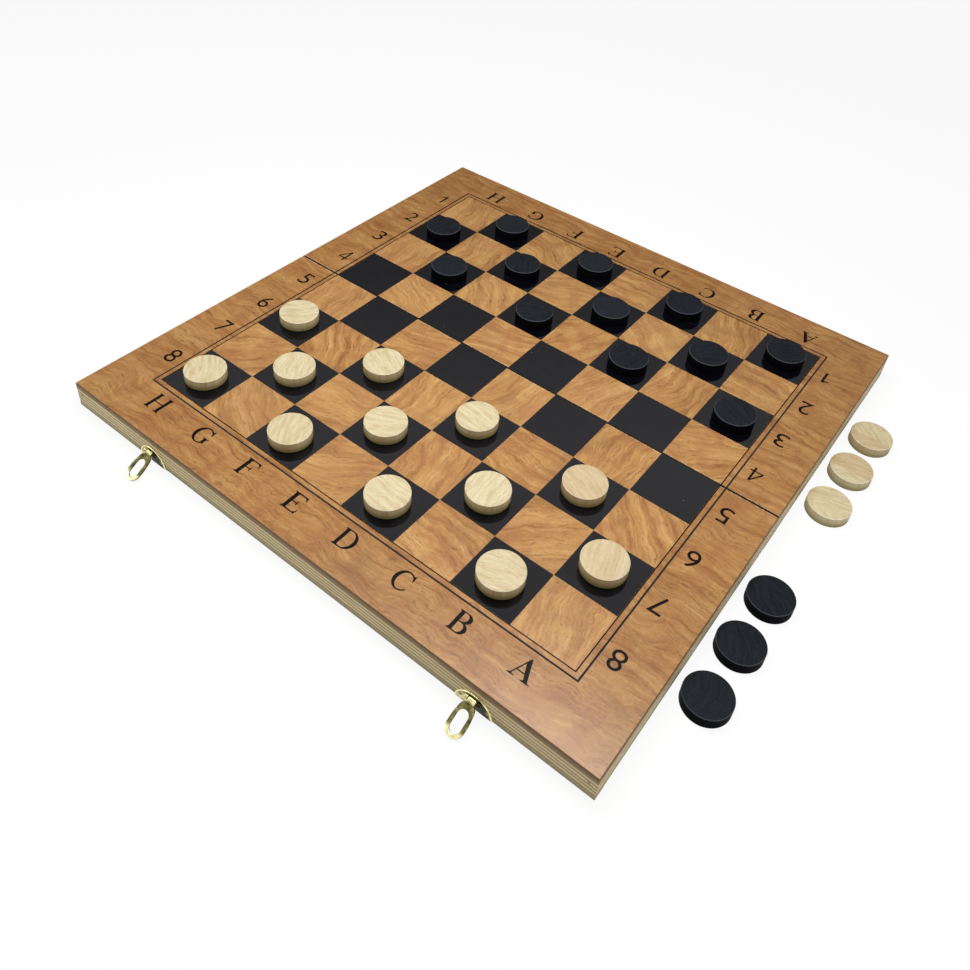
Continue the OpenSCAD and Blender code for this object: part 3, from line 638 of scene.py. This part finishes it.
def letter_outlines():
    """Outer line, then holes, of the eight serif capitals, for a height of 1."""
    s, t = SERIF, STEM
    a = s + t                                           # right side of a first stem
    # left side of a first stem, downwards
    back = [(0.0, 1), (0.0, 1 - FOOT), (s - 0.04, 0.96), (s, 0.90), (s, 0.10), (s - 0.04, 0.04), (0.0, FOOT)]
    middle = [(a, 0.475), (a + 0.20, 0.475), (a + 0.225, 0.37), (a + 0.255, 0.37), (a + 0.255, 0.64),
              (a + 0.225, 0.64), (a + 0.20, 0.53), (a, 0.53)]
    rise = arc(0.46, 0.50, 0.45, 0.52, -90, -270, 26) + arc(0.46, 0.50, 0.40, 0.52, 90, 60, 6)
    letters = {}
    letters["A"] = [
        [(0.0, 0), (0.27, 0), (0.27, FOOT), (0.18, 0.05), (0.165, 0.10), (0.235, 0.29), (0.555, 0.29),
         (0.625, 0.10), (0.61, 0.055), (0.53, FOOT), (0.53, 0), (0.90, 0), (0.90, FOOT), (0.83, 0.055),
         (0.785, 0.12), (0.475, 1.0), (0.43, 1.0), (0.12, 0.12), (0.075, 0.055), (0.0, FOOT)],
        [(0.255, 0.345), (0.385, 0.72), (0.53, 0.345)]]
    letters["B"] = [
        [(0.0, 0), (0.42, 0)] + arc(0.42, 0.27, 0.30, 0.27, -90, 62) + arc(0.40, 0.755, 0.265, 0.245, -62, 90)
        + back,
        [(a, 0.06), (0.36, 0.05)] + arc(0.38, 0.27, 0.175, 0.22, -80, 80) + [(0.30, 0.49), (a, 0.49)],
        [(a, 0.545), (0.32, 0.545)] + arc(0.35, 0.755, 0.145, 0.195, -75, 80) + [(0.30, 0.95), (a, 0.95)]]
    letters["C"] = [
        [(0.80, 0.66), (0.765, 0.66)] + arc(0.47, 0.60, 0.29, 0.35, 22, 92, 10)
        + arc(0.47, 0.50, 0.295, 0.45, 95, 265, 22) + arc(0.47, 0.45, 0.32, 0.40, 272, 325, 8)
        + [(0.80, 0.19)] + arc(0.45, 0.50, 0.43, 0.52, -40, -90, 8) + rise
        + [(0.735, 0.955), (0.76, 1.02), (0.785, 1.02)]]
    letters["D"] = [
        [(0.0, 0), (0.40, 0)] + arc(0.40, 0.50, 0.47, 0.50, -90, 90, 24) + back,
        [(a, 0.06), (0.36, 0.05)] + arc(0.37, 0.50, 0.335, 0.45, -85, 85, 20) + [(0.36, 0.95), (a, 0.94)]]
    letters["E"] = [
        [(0.0, 0)] + arm(0.0, 0, 0.70, 0.26, 1) + [(a + 0.06, HAIR), (a, 0.09)] + middle
        + [(a, 0.91), (a + 0.06, 1 - HAIR)] + arm(0.0, 1, 0.665, 0.22, -1)[::-1] + back]
    letters["F"] = [
        foot(s, a) + middle + [(a, 0.91), (a + 0.06, 1 - HAIR)] + arm(0.0, 1, 0.665, 0.24, -1)[::-1]
        + back[:4]]
    letters["G"] = [
        [(0.79, 0.68), (0.755, 0.68)] + arc(0.46, 0.62, 0.29, 0.33, 22, 92, 10)
        + arc(0.46, 0.50, 0.285, 0.45, 95, 265, 22) + arc(0.46, 0.45, 0.28, 0.40, 272, 300, 6)
        + [(0.64, 0.12), (0.64, 0.33), (0.62, 0.39), (0.54, 0.41), (0.54, 0.445), (0.88, 0.445), (0.88, 0.41),
           (0.80, 0.39), (0.785, 0.33), (0.785, 0.07)]
        + arc(0.46, 0.50, 0.42, 0.52, -50, -90, 8) + rise + [(0.725, 0.955), (0.75, 1.02), (0.775, 1.02)]]
    b = 0.93 - s                                        # right side of a second stem
    letters["H"] = [
        foot(s, a) + [(a, 0.47), (b - t, 0.47)] + foot(b - t, b) + head(b, b - t)
        + [(b - t, 0.525), (a, 0.525)] + head(a, s)]
    return letters


def digit_outlines():
    """Outer line, then holes, of the two digits that the built-in font draws otherwise."""
    return {
        "1": [[(0.0, 0.72), (0.0, 0.80), (0.14, 0.87), (0.25, 1.0), (0.37, 1.0), (0.37, 0), (0.25, 0),
               (0.25, 0.83), (0.13, 0.75)]],
        "4": [[(0.40, 0), (0.40, 0.22), (0.0, 0.22), (0.0, 0.31), (0.41, 1.0), (0.50, 1.0), (0.50, 0.30),
               (0.64, 0.30), (0.64, 0.22), (0.50, 0.22), (0.50, 0)],
              [(0.09, 0.30), (0.40, 0.30), (0.40, 0.83)]]}


DRAWN_SIGNS = {**letter_outlines(), **digit_outlines()}


def outline_curve(name, outlines):
    """A filled flat curve of one outer line and its holes."""
    curve = bpy.data.curves.new(name, "CURVE")
    curve.dimensions, curve.fill_mode = "2D", "BOTH"
    for points in outlines:
        spline = curve.splines.new("POLY")
        spline.points.add(len(points) - 1)
        for point, (x, y) in zip(spline.points, points):
            point.co = (x, y, 0, 1)
        spline.use_cyclic_u = True
    return curve


def curve_mesh(name, curve):
    """The mesh of a curve or text, closed, as a bmesh."""
    maker = bpy.data.objects.new(name + "_outline", curve)
    bpy.context.scene.collection.objects.link(maker)
    bpy.context.view_layer.update()
    mesh = bpy.data.meshes.new_from_object(maker.evaluated_get(bpy.context.evaluated_depsgraph_get()))
    bpy.data.objects.remove(maker)
    shape = bmesh.new()
    shape.from_mesh(mesh)
    bpy.data.meshes.remove(mesh)
    bmesh.ops.remove_doubles(shape, verts=shape.verts, dist=1e-5)
    bmesh.ops.recalc_face_normals(shape, faces=shape.faces)
    return shape


def printed_sign(name, sign, width, height, centre, turned, made, body):
    """One letter or digit, a film of ink thick, of a given size and centred on a place of the face."""
    if sign in DRAWN_SIGNS:
        curve = outline_curve(name, DRAWN_SIGNS[sign])
    else:
        curve = bpy.data.curves.new(name, "FONT")
        curve.body, curve.resolution_u, curve.offset = sign, 6, -0.003
    curve.extrude = 0.02
    shape = curve_mesh(name, curve)
    spans = [(min(along), max(along)) for along in zip(*(vert.co for vert in shape.verts))]
    middle = Vector([(low + high) / 2 for low, high in spans])
    thick = INK + PRINT_SINK
    sizes = zip((width, height, thick), spans)
    fit = Matrix.Diagonal([size / (high - low) for size, (low, high) in sizes] + [1.0])
    spot = Vector((centre[0], centre[1], FACE_Z + INK - thick / 2))
    turn = Matrix.Rotation(math.pi if turned else 0, 4, "Z")
    place = Matrix.Translation(spot) @ turn @ fit @ Matrix.Translation(-middle)
    bmesh.ops.transform(shape, matrix=place, verts=shape.verts)
    return piece(name, shape, made, body)


def coordinates(made):
    """A to H along two edges, 8 to 1 up the others; the far and right ones stand on their heads."""
    for index, letter in enumerate(FILES):
        for edge, side in (("near", -1), ("far", 1)):
            x = BOARD_X - FIELD + (index + 0.5) * SQUARE + LETTER_SHIFT[edge][letter] * MM
            printed_sign(f"{edge}_letter_{letter}", letter, LETTER_WIDTH[letter] * MM, LETTER_HEIGHT,
                         (x, FOLD_Y + side * (FIELD + LETTERS_OUT[edge])), side > 0, made, edge + "_half")
    for index, digit in enumerate(RANKS):
        body = "near_half" if index < len(RANKS) / 2 else "far_half"
        for edge, side in (("left", -1), ("right", 1)):
            y = FOLD_Y - FIELD + (index + 0.5) * SQUARE + DIGIT_SHIFT[edge][digit] * MM
            height = LOW_ONE_HEIGHT if digit == "1" else DIGIT_HEIGHT
            printed_sign(f"{edge}_digit_{digit}", digit, DIGIT_WIDTH[digit] * MM, height,
                         (BOARD_X + side * (FIELD + DIGITS_OUT[edge]), y), side > 0, made, body)


def lathe(points, closed, axis, steps, join):
    """Turns a profile about an axis through the origin; a closed one ends where it begins."""
    shape = bmesh.new()
    line = [shape.verts.new(point) for point in points]
    following = line[1:] + line[:1] if closed else line[1:]
    edges = [shape.edges.new(pair) for pair in zip(line, following)]
    bmesh.ops.spin(shape, geom=line + edges, cent=(0, 0, 0), axis=axis, angle=FULL_TURN, steps=steps,
                   use_merge=True)
    bmesh.ops.remove_doubles(shape, verts=shape.verts, dist=join)
    return shape


def brad(name, at, out, made, body):
    """A small domed nail head on a rail's outer face, a lathe shape closed at its crown."""
    radius, height, sunk = BRAD_RADIUS, BRAD_HEIGHT, BRAD_HEIGHT / 2
    profile = [(radius, -sunk), (radius, sunk / 3), (radius * 0.8, height * 0.7),
               (radius * 0.45, height * 0.95), (0, height)]
    shape = lathe([(r, 0, z) for r, z in profile], False, (0, 0, 1), 20, 1e-7)
    bmesh.ops.contextual_create(shape, geom=[edge for edge in shape.edges if edge.is_boundary])
    turn = Vector((0, 0, 1)).rotation_difference(out).to_matrix().to_4x4()
    bmesh.ops.transform(shape, matrix=Matrix.Translation(at) @ turn, verts=shape.verts)
    bmesh.ops.recalc_face_normals(shape, faces=shape.faces)
    return piece(name, shape, made, body, smooth=True)


def brads(made):
    """A brad at each corner of the box, through the outer rail into the side rail."""
    far_rail_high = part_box("far_outer_rail")[1]
    for edge, y, out in (("near", rail_low.y, -1), ("far", far_rail_high.y, 1)):
        for label, x in (("left", rail_low.x + BRAD_FROM_END), ("right", rail_high.x - BRAD_FROM_END)):
            brad(f"{edge}_brad_{label}", Vector((x, y, BRAD_Z)), Vector((0, out, 0)), made, edge + "_half")


def in_millimetres(shape, place):
    """Moves a shape that was drawn in millimetres to its place in the frame."""
    bmesh.ops.transform(shape, matrix=place @ Matrix.Diagonal((MM, MM, MM, 1.0)), verts=shape.verts)
    return shape


def pressed_sheet(name, outlines, thickness, edge, place, out):
    """A sheet with rounded edges, of one outer line and its holes; out is how far its middle stands out."""
    curve = outline_curve(name, outlines)
    curve.extrude = thickness / 2 - edge
    curve.bevel_depth, curve.offset, curve.bevel_resolution = edge, -edge, 3
    return in_millimetres(curve_mesh(name, curve), place @ Matrix.Translation((0, 0, out * MM)))


def rolled_tube(start, end, place):
    """A knuckle rolled round a pin: a tube along X with eased mouths, moved to the pin's place."""
    outer, bore, ease, break_in = KNUCKLE_RADIUS, BORE_RADIUS, KNUCKLE_EASE, 0.3 * KNUCKLE_EASE
    ring = [(start, bore), (start, outer - ease), (start + break_in, outer - break_in), (start + ease, outer),
            (end - ease, outer), (end - break_in, outer - break_in), (end, outer - ease), (end, bore)]
    shape = lathe([(x, r, 0) for x, r in ring], True, (1, 0, 0), 32, 1e-4)
    bmesh.ops.recalc_face_normals(shape, faces=shape.faces)
    return in_millimetres(shape, place)


def merged(*shapes):
    """One bmesh of several closed ones."""
    whole = bmesh.new()
    for shape in shapes:
        part = bpy.data.meshes.new("part")
        shape.to_mesh(part)
        shape.free()
        whole.from_mesh(part)
        bpy.data.meshes.remove(part)
    return whole


def tongue_outline():
    """Blade of the tongue, about its pin: a narrow root, sloping shoulders, a half-round end."""
    half, end = TONGUE_WIDTH / 2, TONGUE_LENGTH - TONGUE_WIDTH / 2
    root = TONGUE_ROOT / 2 - 0.05
    side = [(root, -0.9), (root, -1.7), (2.6, -2.25), (3.3, -2.6), (3.9, -3.1), (4.3, -4.0), (4.65, -5.6),
            (half - 0.2, -8.6), (half, -10.8)]
    points = side + arc(0, -end, half, half, 0, -90, 16)
    return points + [(-x, y) for x, y in reversed(points[:-1])]


def slot_outline():
    """The tongue's long slot, with half-round ends."""
    r, top, bottom = SLOT_WIDTH / 2, -(SLOT_MIDDLE - SLOT_LENGTH / 2), -(SLOT_MIDDLE + SLOT_LENGTH / 2)
    return arc(0, top - r, r, r, 0, 180, 16) + arc(0, bottom + r, r, r, 180, 360, 16)


def hasp_tongue(name, joint, node, body, made):
    """The rolled root and the blade with its long slot, leaning out with its end near the table."""
    pin, lean = Vector(joint["pos_m"]), math.radians(-joint["range_deg"][0])
    turn = Matrix.Translation(pin) @ Matrix.Rotation(FULL_TURN / 4 - lean, 4, "X")
    blade = pressed_sheet(name, [tongue_outline(), slot_outline()], TONGUE_FRONT - TONGUE_BACK, 0.62,
                          turn, (TONGUE_FRONT + TONGUE_BACK) / 2)
    half = TONGUE_ROOT / 2
    root = rolled_tube(-half, half, turn)
    side = half - 0.05
    strip = [(-side, 0.25), (-side, -2.6), (side, -2.6), (side, 0.25)]
    neck = pressed_sheet(name + "_neck", [strip], 0.5, 0.2, turn, TONGUE_FRONT - 0.26)
    tongue = piece(name, merged(blade, root, neck), made, body, smooth=True)
    tongue.data.set_sharp_from_angle(angle=SHARP_ANGLE)
    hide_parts(node)


def half_moon_outline(radius):
    return arc(0, 0, radius, radius, 0, 180, 40)


def hasp_plate(name, joint, node, made):
    """The pressed half-moon with a raised rim along its arc, and the two outer knuckles."""
    low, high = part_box(node)
    pin = Vector(joint["pos_m"])
    upright = Matrix.Translation((pin.x, high.y, low.z)) @ Matrix.Rotation(FULL_TURN / 4, 4, "X")
    inner, outer = TONGUE_ROOT / 2 + 0.3, TONGUE_ROOT / 2 + 2.5
    side = inner + 0.05
    window = [(-side, 6.2), (-side, 10.05), (side, 10.05), (side, 6.2)]
    moon = pressed_sheet(name, [half_moon_outline(PLATE_RADIUS), window], PLATE_THICKNESS, 0.12,
                         upright, PLATE_THICKNESS / 2)
    rim = PLATE_RADIUS - RIM_WIDTH
    band = half_moon_outline(PLATE_RADIUS) + arc(0, 0, rim, rim, 3, 177, 40)[::-1]
    bead = pressed_sheet(name + "_bead", [band], RIM_WIDTH, 0.28, upright, PLATE_THICKNESS + 0.12)
    knuckles = [rolled_tube(start, end, Matrix.Translation(pin)) for start, end in
                ((-outer, -inner), (inner, outer))]
    plate = piece(name, merged(moon, bead, *knuckles), made, "near_half", smooth=True)
    plate.data.set_sharp_from_angle(angle=SHARP_ANGLE)
    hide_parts(node)


# ---- light, floor and camera --------------------------------------------------------------------

def seen_straight(tree):
    """1 for what the camera sees straight, in gloss or through glass; 0 for soft light."""
    path = put(tree, "ShaderNodeLightPath").outputs
    return maths(tree, "MAXIMUM", maths(tree, "MAXIMUM", path["Is Camera Ray"], path["Is Glossy Ray"]),
                 path["Is Transmission Ray"])


def white_world():
    """White where it is seen straight, in gloss or through glass; plain soft light elsewhere."""
    world = bpy.data.worlds.new("studio")
    world.use_nodes = True
    bpy.context.scene.world = world
    tree = world.node_tree
    tree.nodes.clear()
    soft = put(tree, "ShaderNodeBackground", {"Color": WHITE, "Strength": 0.24}).outputs[0]
    plain = put(tree, "ShaderNodeBackground", {"Color": WHITE, "Strength": 1.0}).outputs[0]
    mixed = put(tree, "ShaderNodeMixShader", {0: seen_straight(tree), 1: soft, 2: plain}).outputs[0]
    put(tree, "ShaderNodeOutputWorld", {"Surface": mixed})


def pale_floor():
    """A white floor that keeps a light shadow of the object."""
    shape = bmesh.new()
    bmesh.ops.create_grid(shape, x_segments=4, y_segments=4, size=6.0)
    made, tree, shader = material("floor_white")
    tree.nodes.remove(shader)
    body = put(tree, "ShaderNodeBsdfDiffuse", {"Color": (0.86, 0.86, 0.86, 1)}).outputs[0]
    glow = put(tree, "ShaderNodeEmission", {"Color": WHITE, "Strength": 1.06}).outputs[0]
    share = times(tree, seen_straight(tree), 0.85)
    mixed = put(tree, "ShaderNodeMixShader", {0: share, 1: body, 2: glow}).outputs[0]
    tree.links.new(mixed, tree.nodes["Material Output"].inputs["Surface"])
    new_object("floor", shape, made)


def graded_card():
    """A tall card beyond the far corner, dark at its foot and white at its top, that only gloss can see."""
    distance, bearing, middle_z = 1.35, math.radians(125), 0.75     # seen from the camera
    half_width, half_height = 1.3, 0.72
    dark_up_to, white_from = 350, 1150                  # heights in millimetres
    middle = (CAMERA_AT.x + distance * math.cos(bearing), CAMERA_AT.y + distance * math.sin(bearing),
              middle_z)
    facing = Matrix.Rotation(bearing + FULL_TURN / 4, 4, "Z") @ Matrix.Rotation(FULL_TURN / 4, 4, "X")
    shape = bmesh.new()
    bmesh.ops.create_grid(shape, x_segments=2, y_segments=2, size=1.0,
                          matrix=Matrix.Translation(middle) @ facing
                          @ Matrix.Diagonal((half_width, half_height, 1.0, 1.0)))
    made, tree, shader = material("card_grey")
    tree.nodes.remove(shader)
    strength = ramp(tree, split(tree, millimetres(tree))[2], dark_up_to, white_from, 0.20, 1.0)
    glow = put(tree, "ShaderNodeEmission", {"Color": WHITE, "Strength": strength}).outputs[0]
    tree.links.new(glow, tree.nodes["Material Output"].inputs["Surface"])
    card = new_object("graded_card", shape, made)
    card.visible_camera = card.visible_diffuse = card.visible_transmission = card.visible_shadow = False


def softbox(name, at, aim, width, length, watts, only_gloss=False):
    """A soft rectangular lamp; only_gloss keeps it to reflections."""
    data = bpy.data.lights.new(name, "AREA")
    data.shape, data.size, data.size_y, data.energy = "RECTANGLE", width, length, watts
    lamp = bpy.data.objects.new(name, data)
    lamp.location = at
    lamp.rotation_euler = (Vector(aim) - Vector(at)).to_track_quat("-Z", "Y").to_euler()
    lamp.visible_diffuse = not only_gloss
    bpy.context.scene.collection.objects.link(lamp)


def photo_camera():
    """The camera of the photograph, found from the chequered field, the box's lower edges and the men."""
    heading, tilt, roll = (math.radians(angle) for angle in (34.788, 52.445, 4.818))
    focal_px, middle_x_px, middle_y_px = 930.2, 482.2, 314.2       # focal length and optical centre
    data = bpy.data.cameras.new("camera")
    data.sensor_width = 36.0
    data.lens = focal_px / PHOTO_PX * data.sensor_width
    data.shift_x = (PHOTO_PX / 2 - middle_x_px) / PHOTO_PX
    data.shift_y = (middle_y_px - PHOTO_PX / 2) / PHOTO_PX
    data.clip_start = 0.01
    camera = bpy.data.objects.new("camera", data)
    camera.matrix_world = (Matrix.Translation(CAMERA_AT) @ Matrix.Rotation(heading, 4, "Z")
                           @ Matrix.Rotation(tilt, 4, "X") @ Matrix.Rotation(roll, 4, "Z"))
    bpy.context.scene.collection.objects.link(camera)
    bpy.context.scene.camera = camera


# ---- put together -------------------------------------------------------------------------------

film_finish()
black_print_finish()
INK_BLACK = ink_finish()
points_finish("dark_points_print", "2A1A12", "3D281A", "near_points_dark", "far_points_dark")
points_finish("light_points_print", "C79A62", "E2BC86", "near_points_light", "far_points_light")
rail_finish()
brass_finish("hinge_sheet_brass", "C0A970", "84703E", 0.22, 0.42,
             "near_hinge_leaf_left", "near_hinge_leaf_right", "far_hinge_leaf_left", "far_hinge_leaf_right")
PLATE_BRASS = hasp_finish("hasp_plate_brass", False, "hasp_plate_left", "hasp_plate_right")
TONGUE_BRASS = hasp_finish("hasp_tongue_brass", True, "hasp_tongue_left", "hasp_tongue_right")
brass_finish("catch_brass", "D8CC96", "8F8350", 0.16, 0.38, "catch_left", "catch_right")
brass_finish("drawn_wire", "B9AE8A", "7C7358", 0.20, 0.40, "hinge_pins", "hasp_pins")
NAIL_BRASS = brass_finish("nail_brass", "8F8866", "5C563E", 0.30, 0.50, "near_nails", "far_nails")
# side is painted shade on the men's sides, rim a painted highlight on their top edge
disc_finish("pale_maple_man", [f"light_disc_{n}" for n in range(1, 16)],
            low="E3D3A2", high="F3E8C4", ring="C99C6C", pore="9A7A4A", cloud="C4B27E", rim="FFF8DE",
            side="8A7C48", side_shade=(1.0, 0.30), rough=0.5, rings=0.40, relief=0.02, sheen=0.25)
disc_finish("black_stained_man", [f"dark_disc_{n}" for n in range(1, 16)],
            low="1C1E23", high="2B2E33", ring="30343A", pore="08080A", cloud="1C1E23", rim="5C616A",
            side="050506", side_shade=(0.95, 0.90), rough=0.5, rings=0.40, relief=0.03, sheen=0.01)

thin_line("near_thin_line", -1, INK_BLACK, "near_half")
thin_line("far_thin_line", 1, INK_BLACK, "far_half")
coordinates(INK_BLACK)
brads(NAIL_BRASS)
for side in ("left", "right"):
    swing = JOINTS[side + "_tongue_swing"]
    hasp_tongue(f"{side}_tongue_pressed", swing, f"hasp_tongue_{side}", f"{side}_tongue", TONGUE_BRASS)
    hasp_plate(f"{side}_plate_pressed", swing, f"hasp_plate_{side}", PLATE_BRASS)

white_world()
pale_floor()
graded_card()
softbox("overhead_softbox", at=(-0.01, -0.05, 0.56), aim=(-0.01, -0.05, 0.0),
        width=0.48, length=0.22, watts=2.3)
softbox("corner_sheen", at=(0.129, 0.055, 0.64), aim=(0.129, 0.055, 0.0),
        width=0.40, length=0.16, watts=2.9, only_gloss=True)
softbox("right_fill", at=(0.85, -0.10, 0.35), aim=(0.18, -0.05, 0.0),
        width=0.50, length=0.40, watts=0.95)
softbox("front_fill", at=(-0.70, -0.65, 0.30), aim=(-0.20, -0.19, 0.0),
        width=0.50, length=0.30, watts=1.5)
photo_camera()

bpy.context.scene.view_settings.view_transform = "Standard"
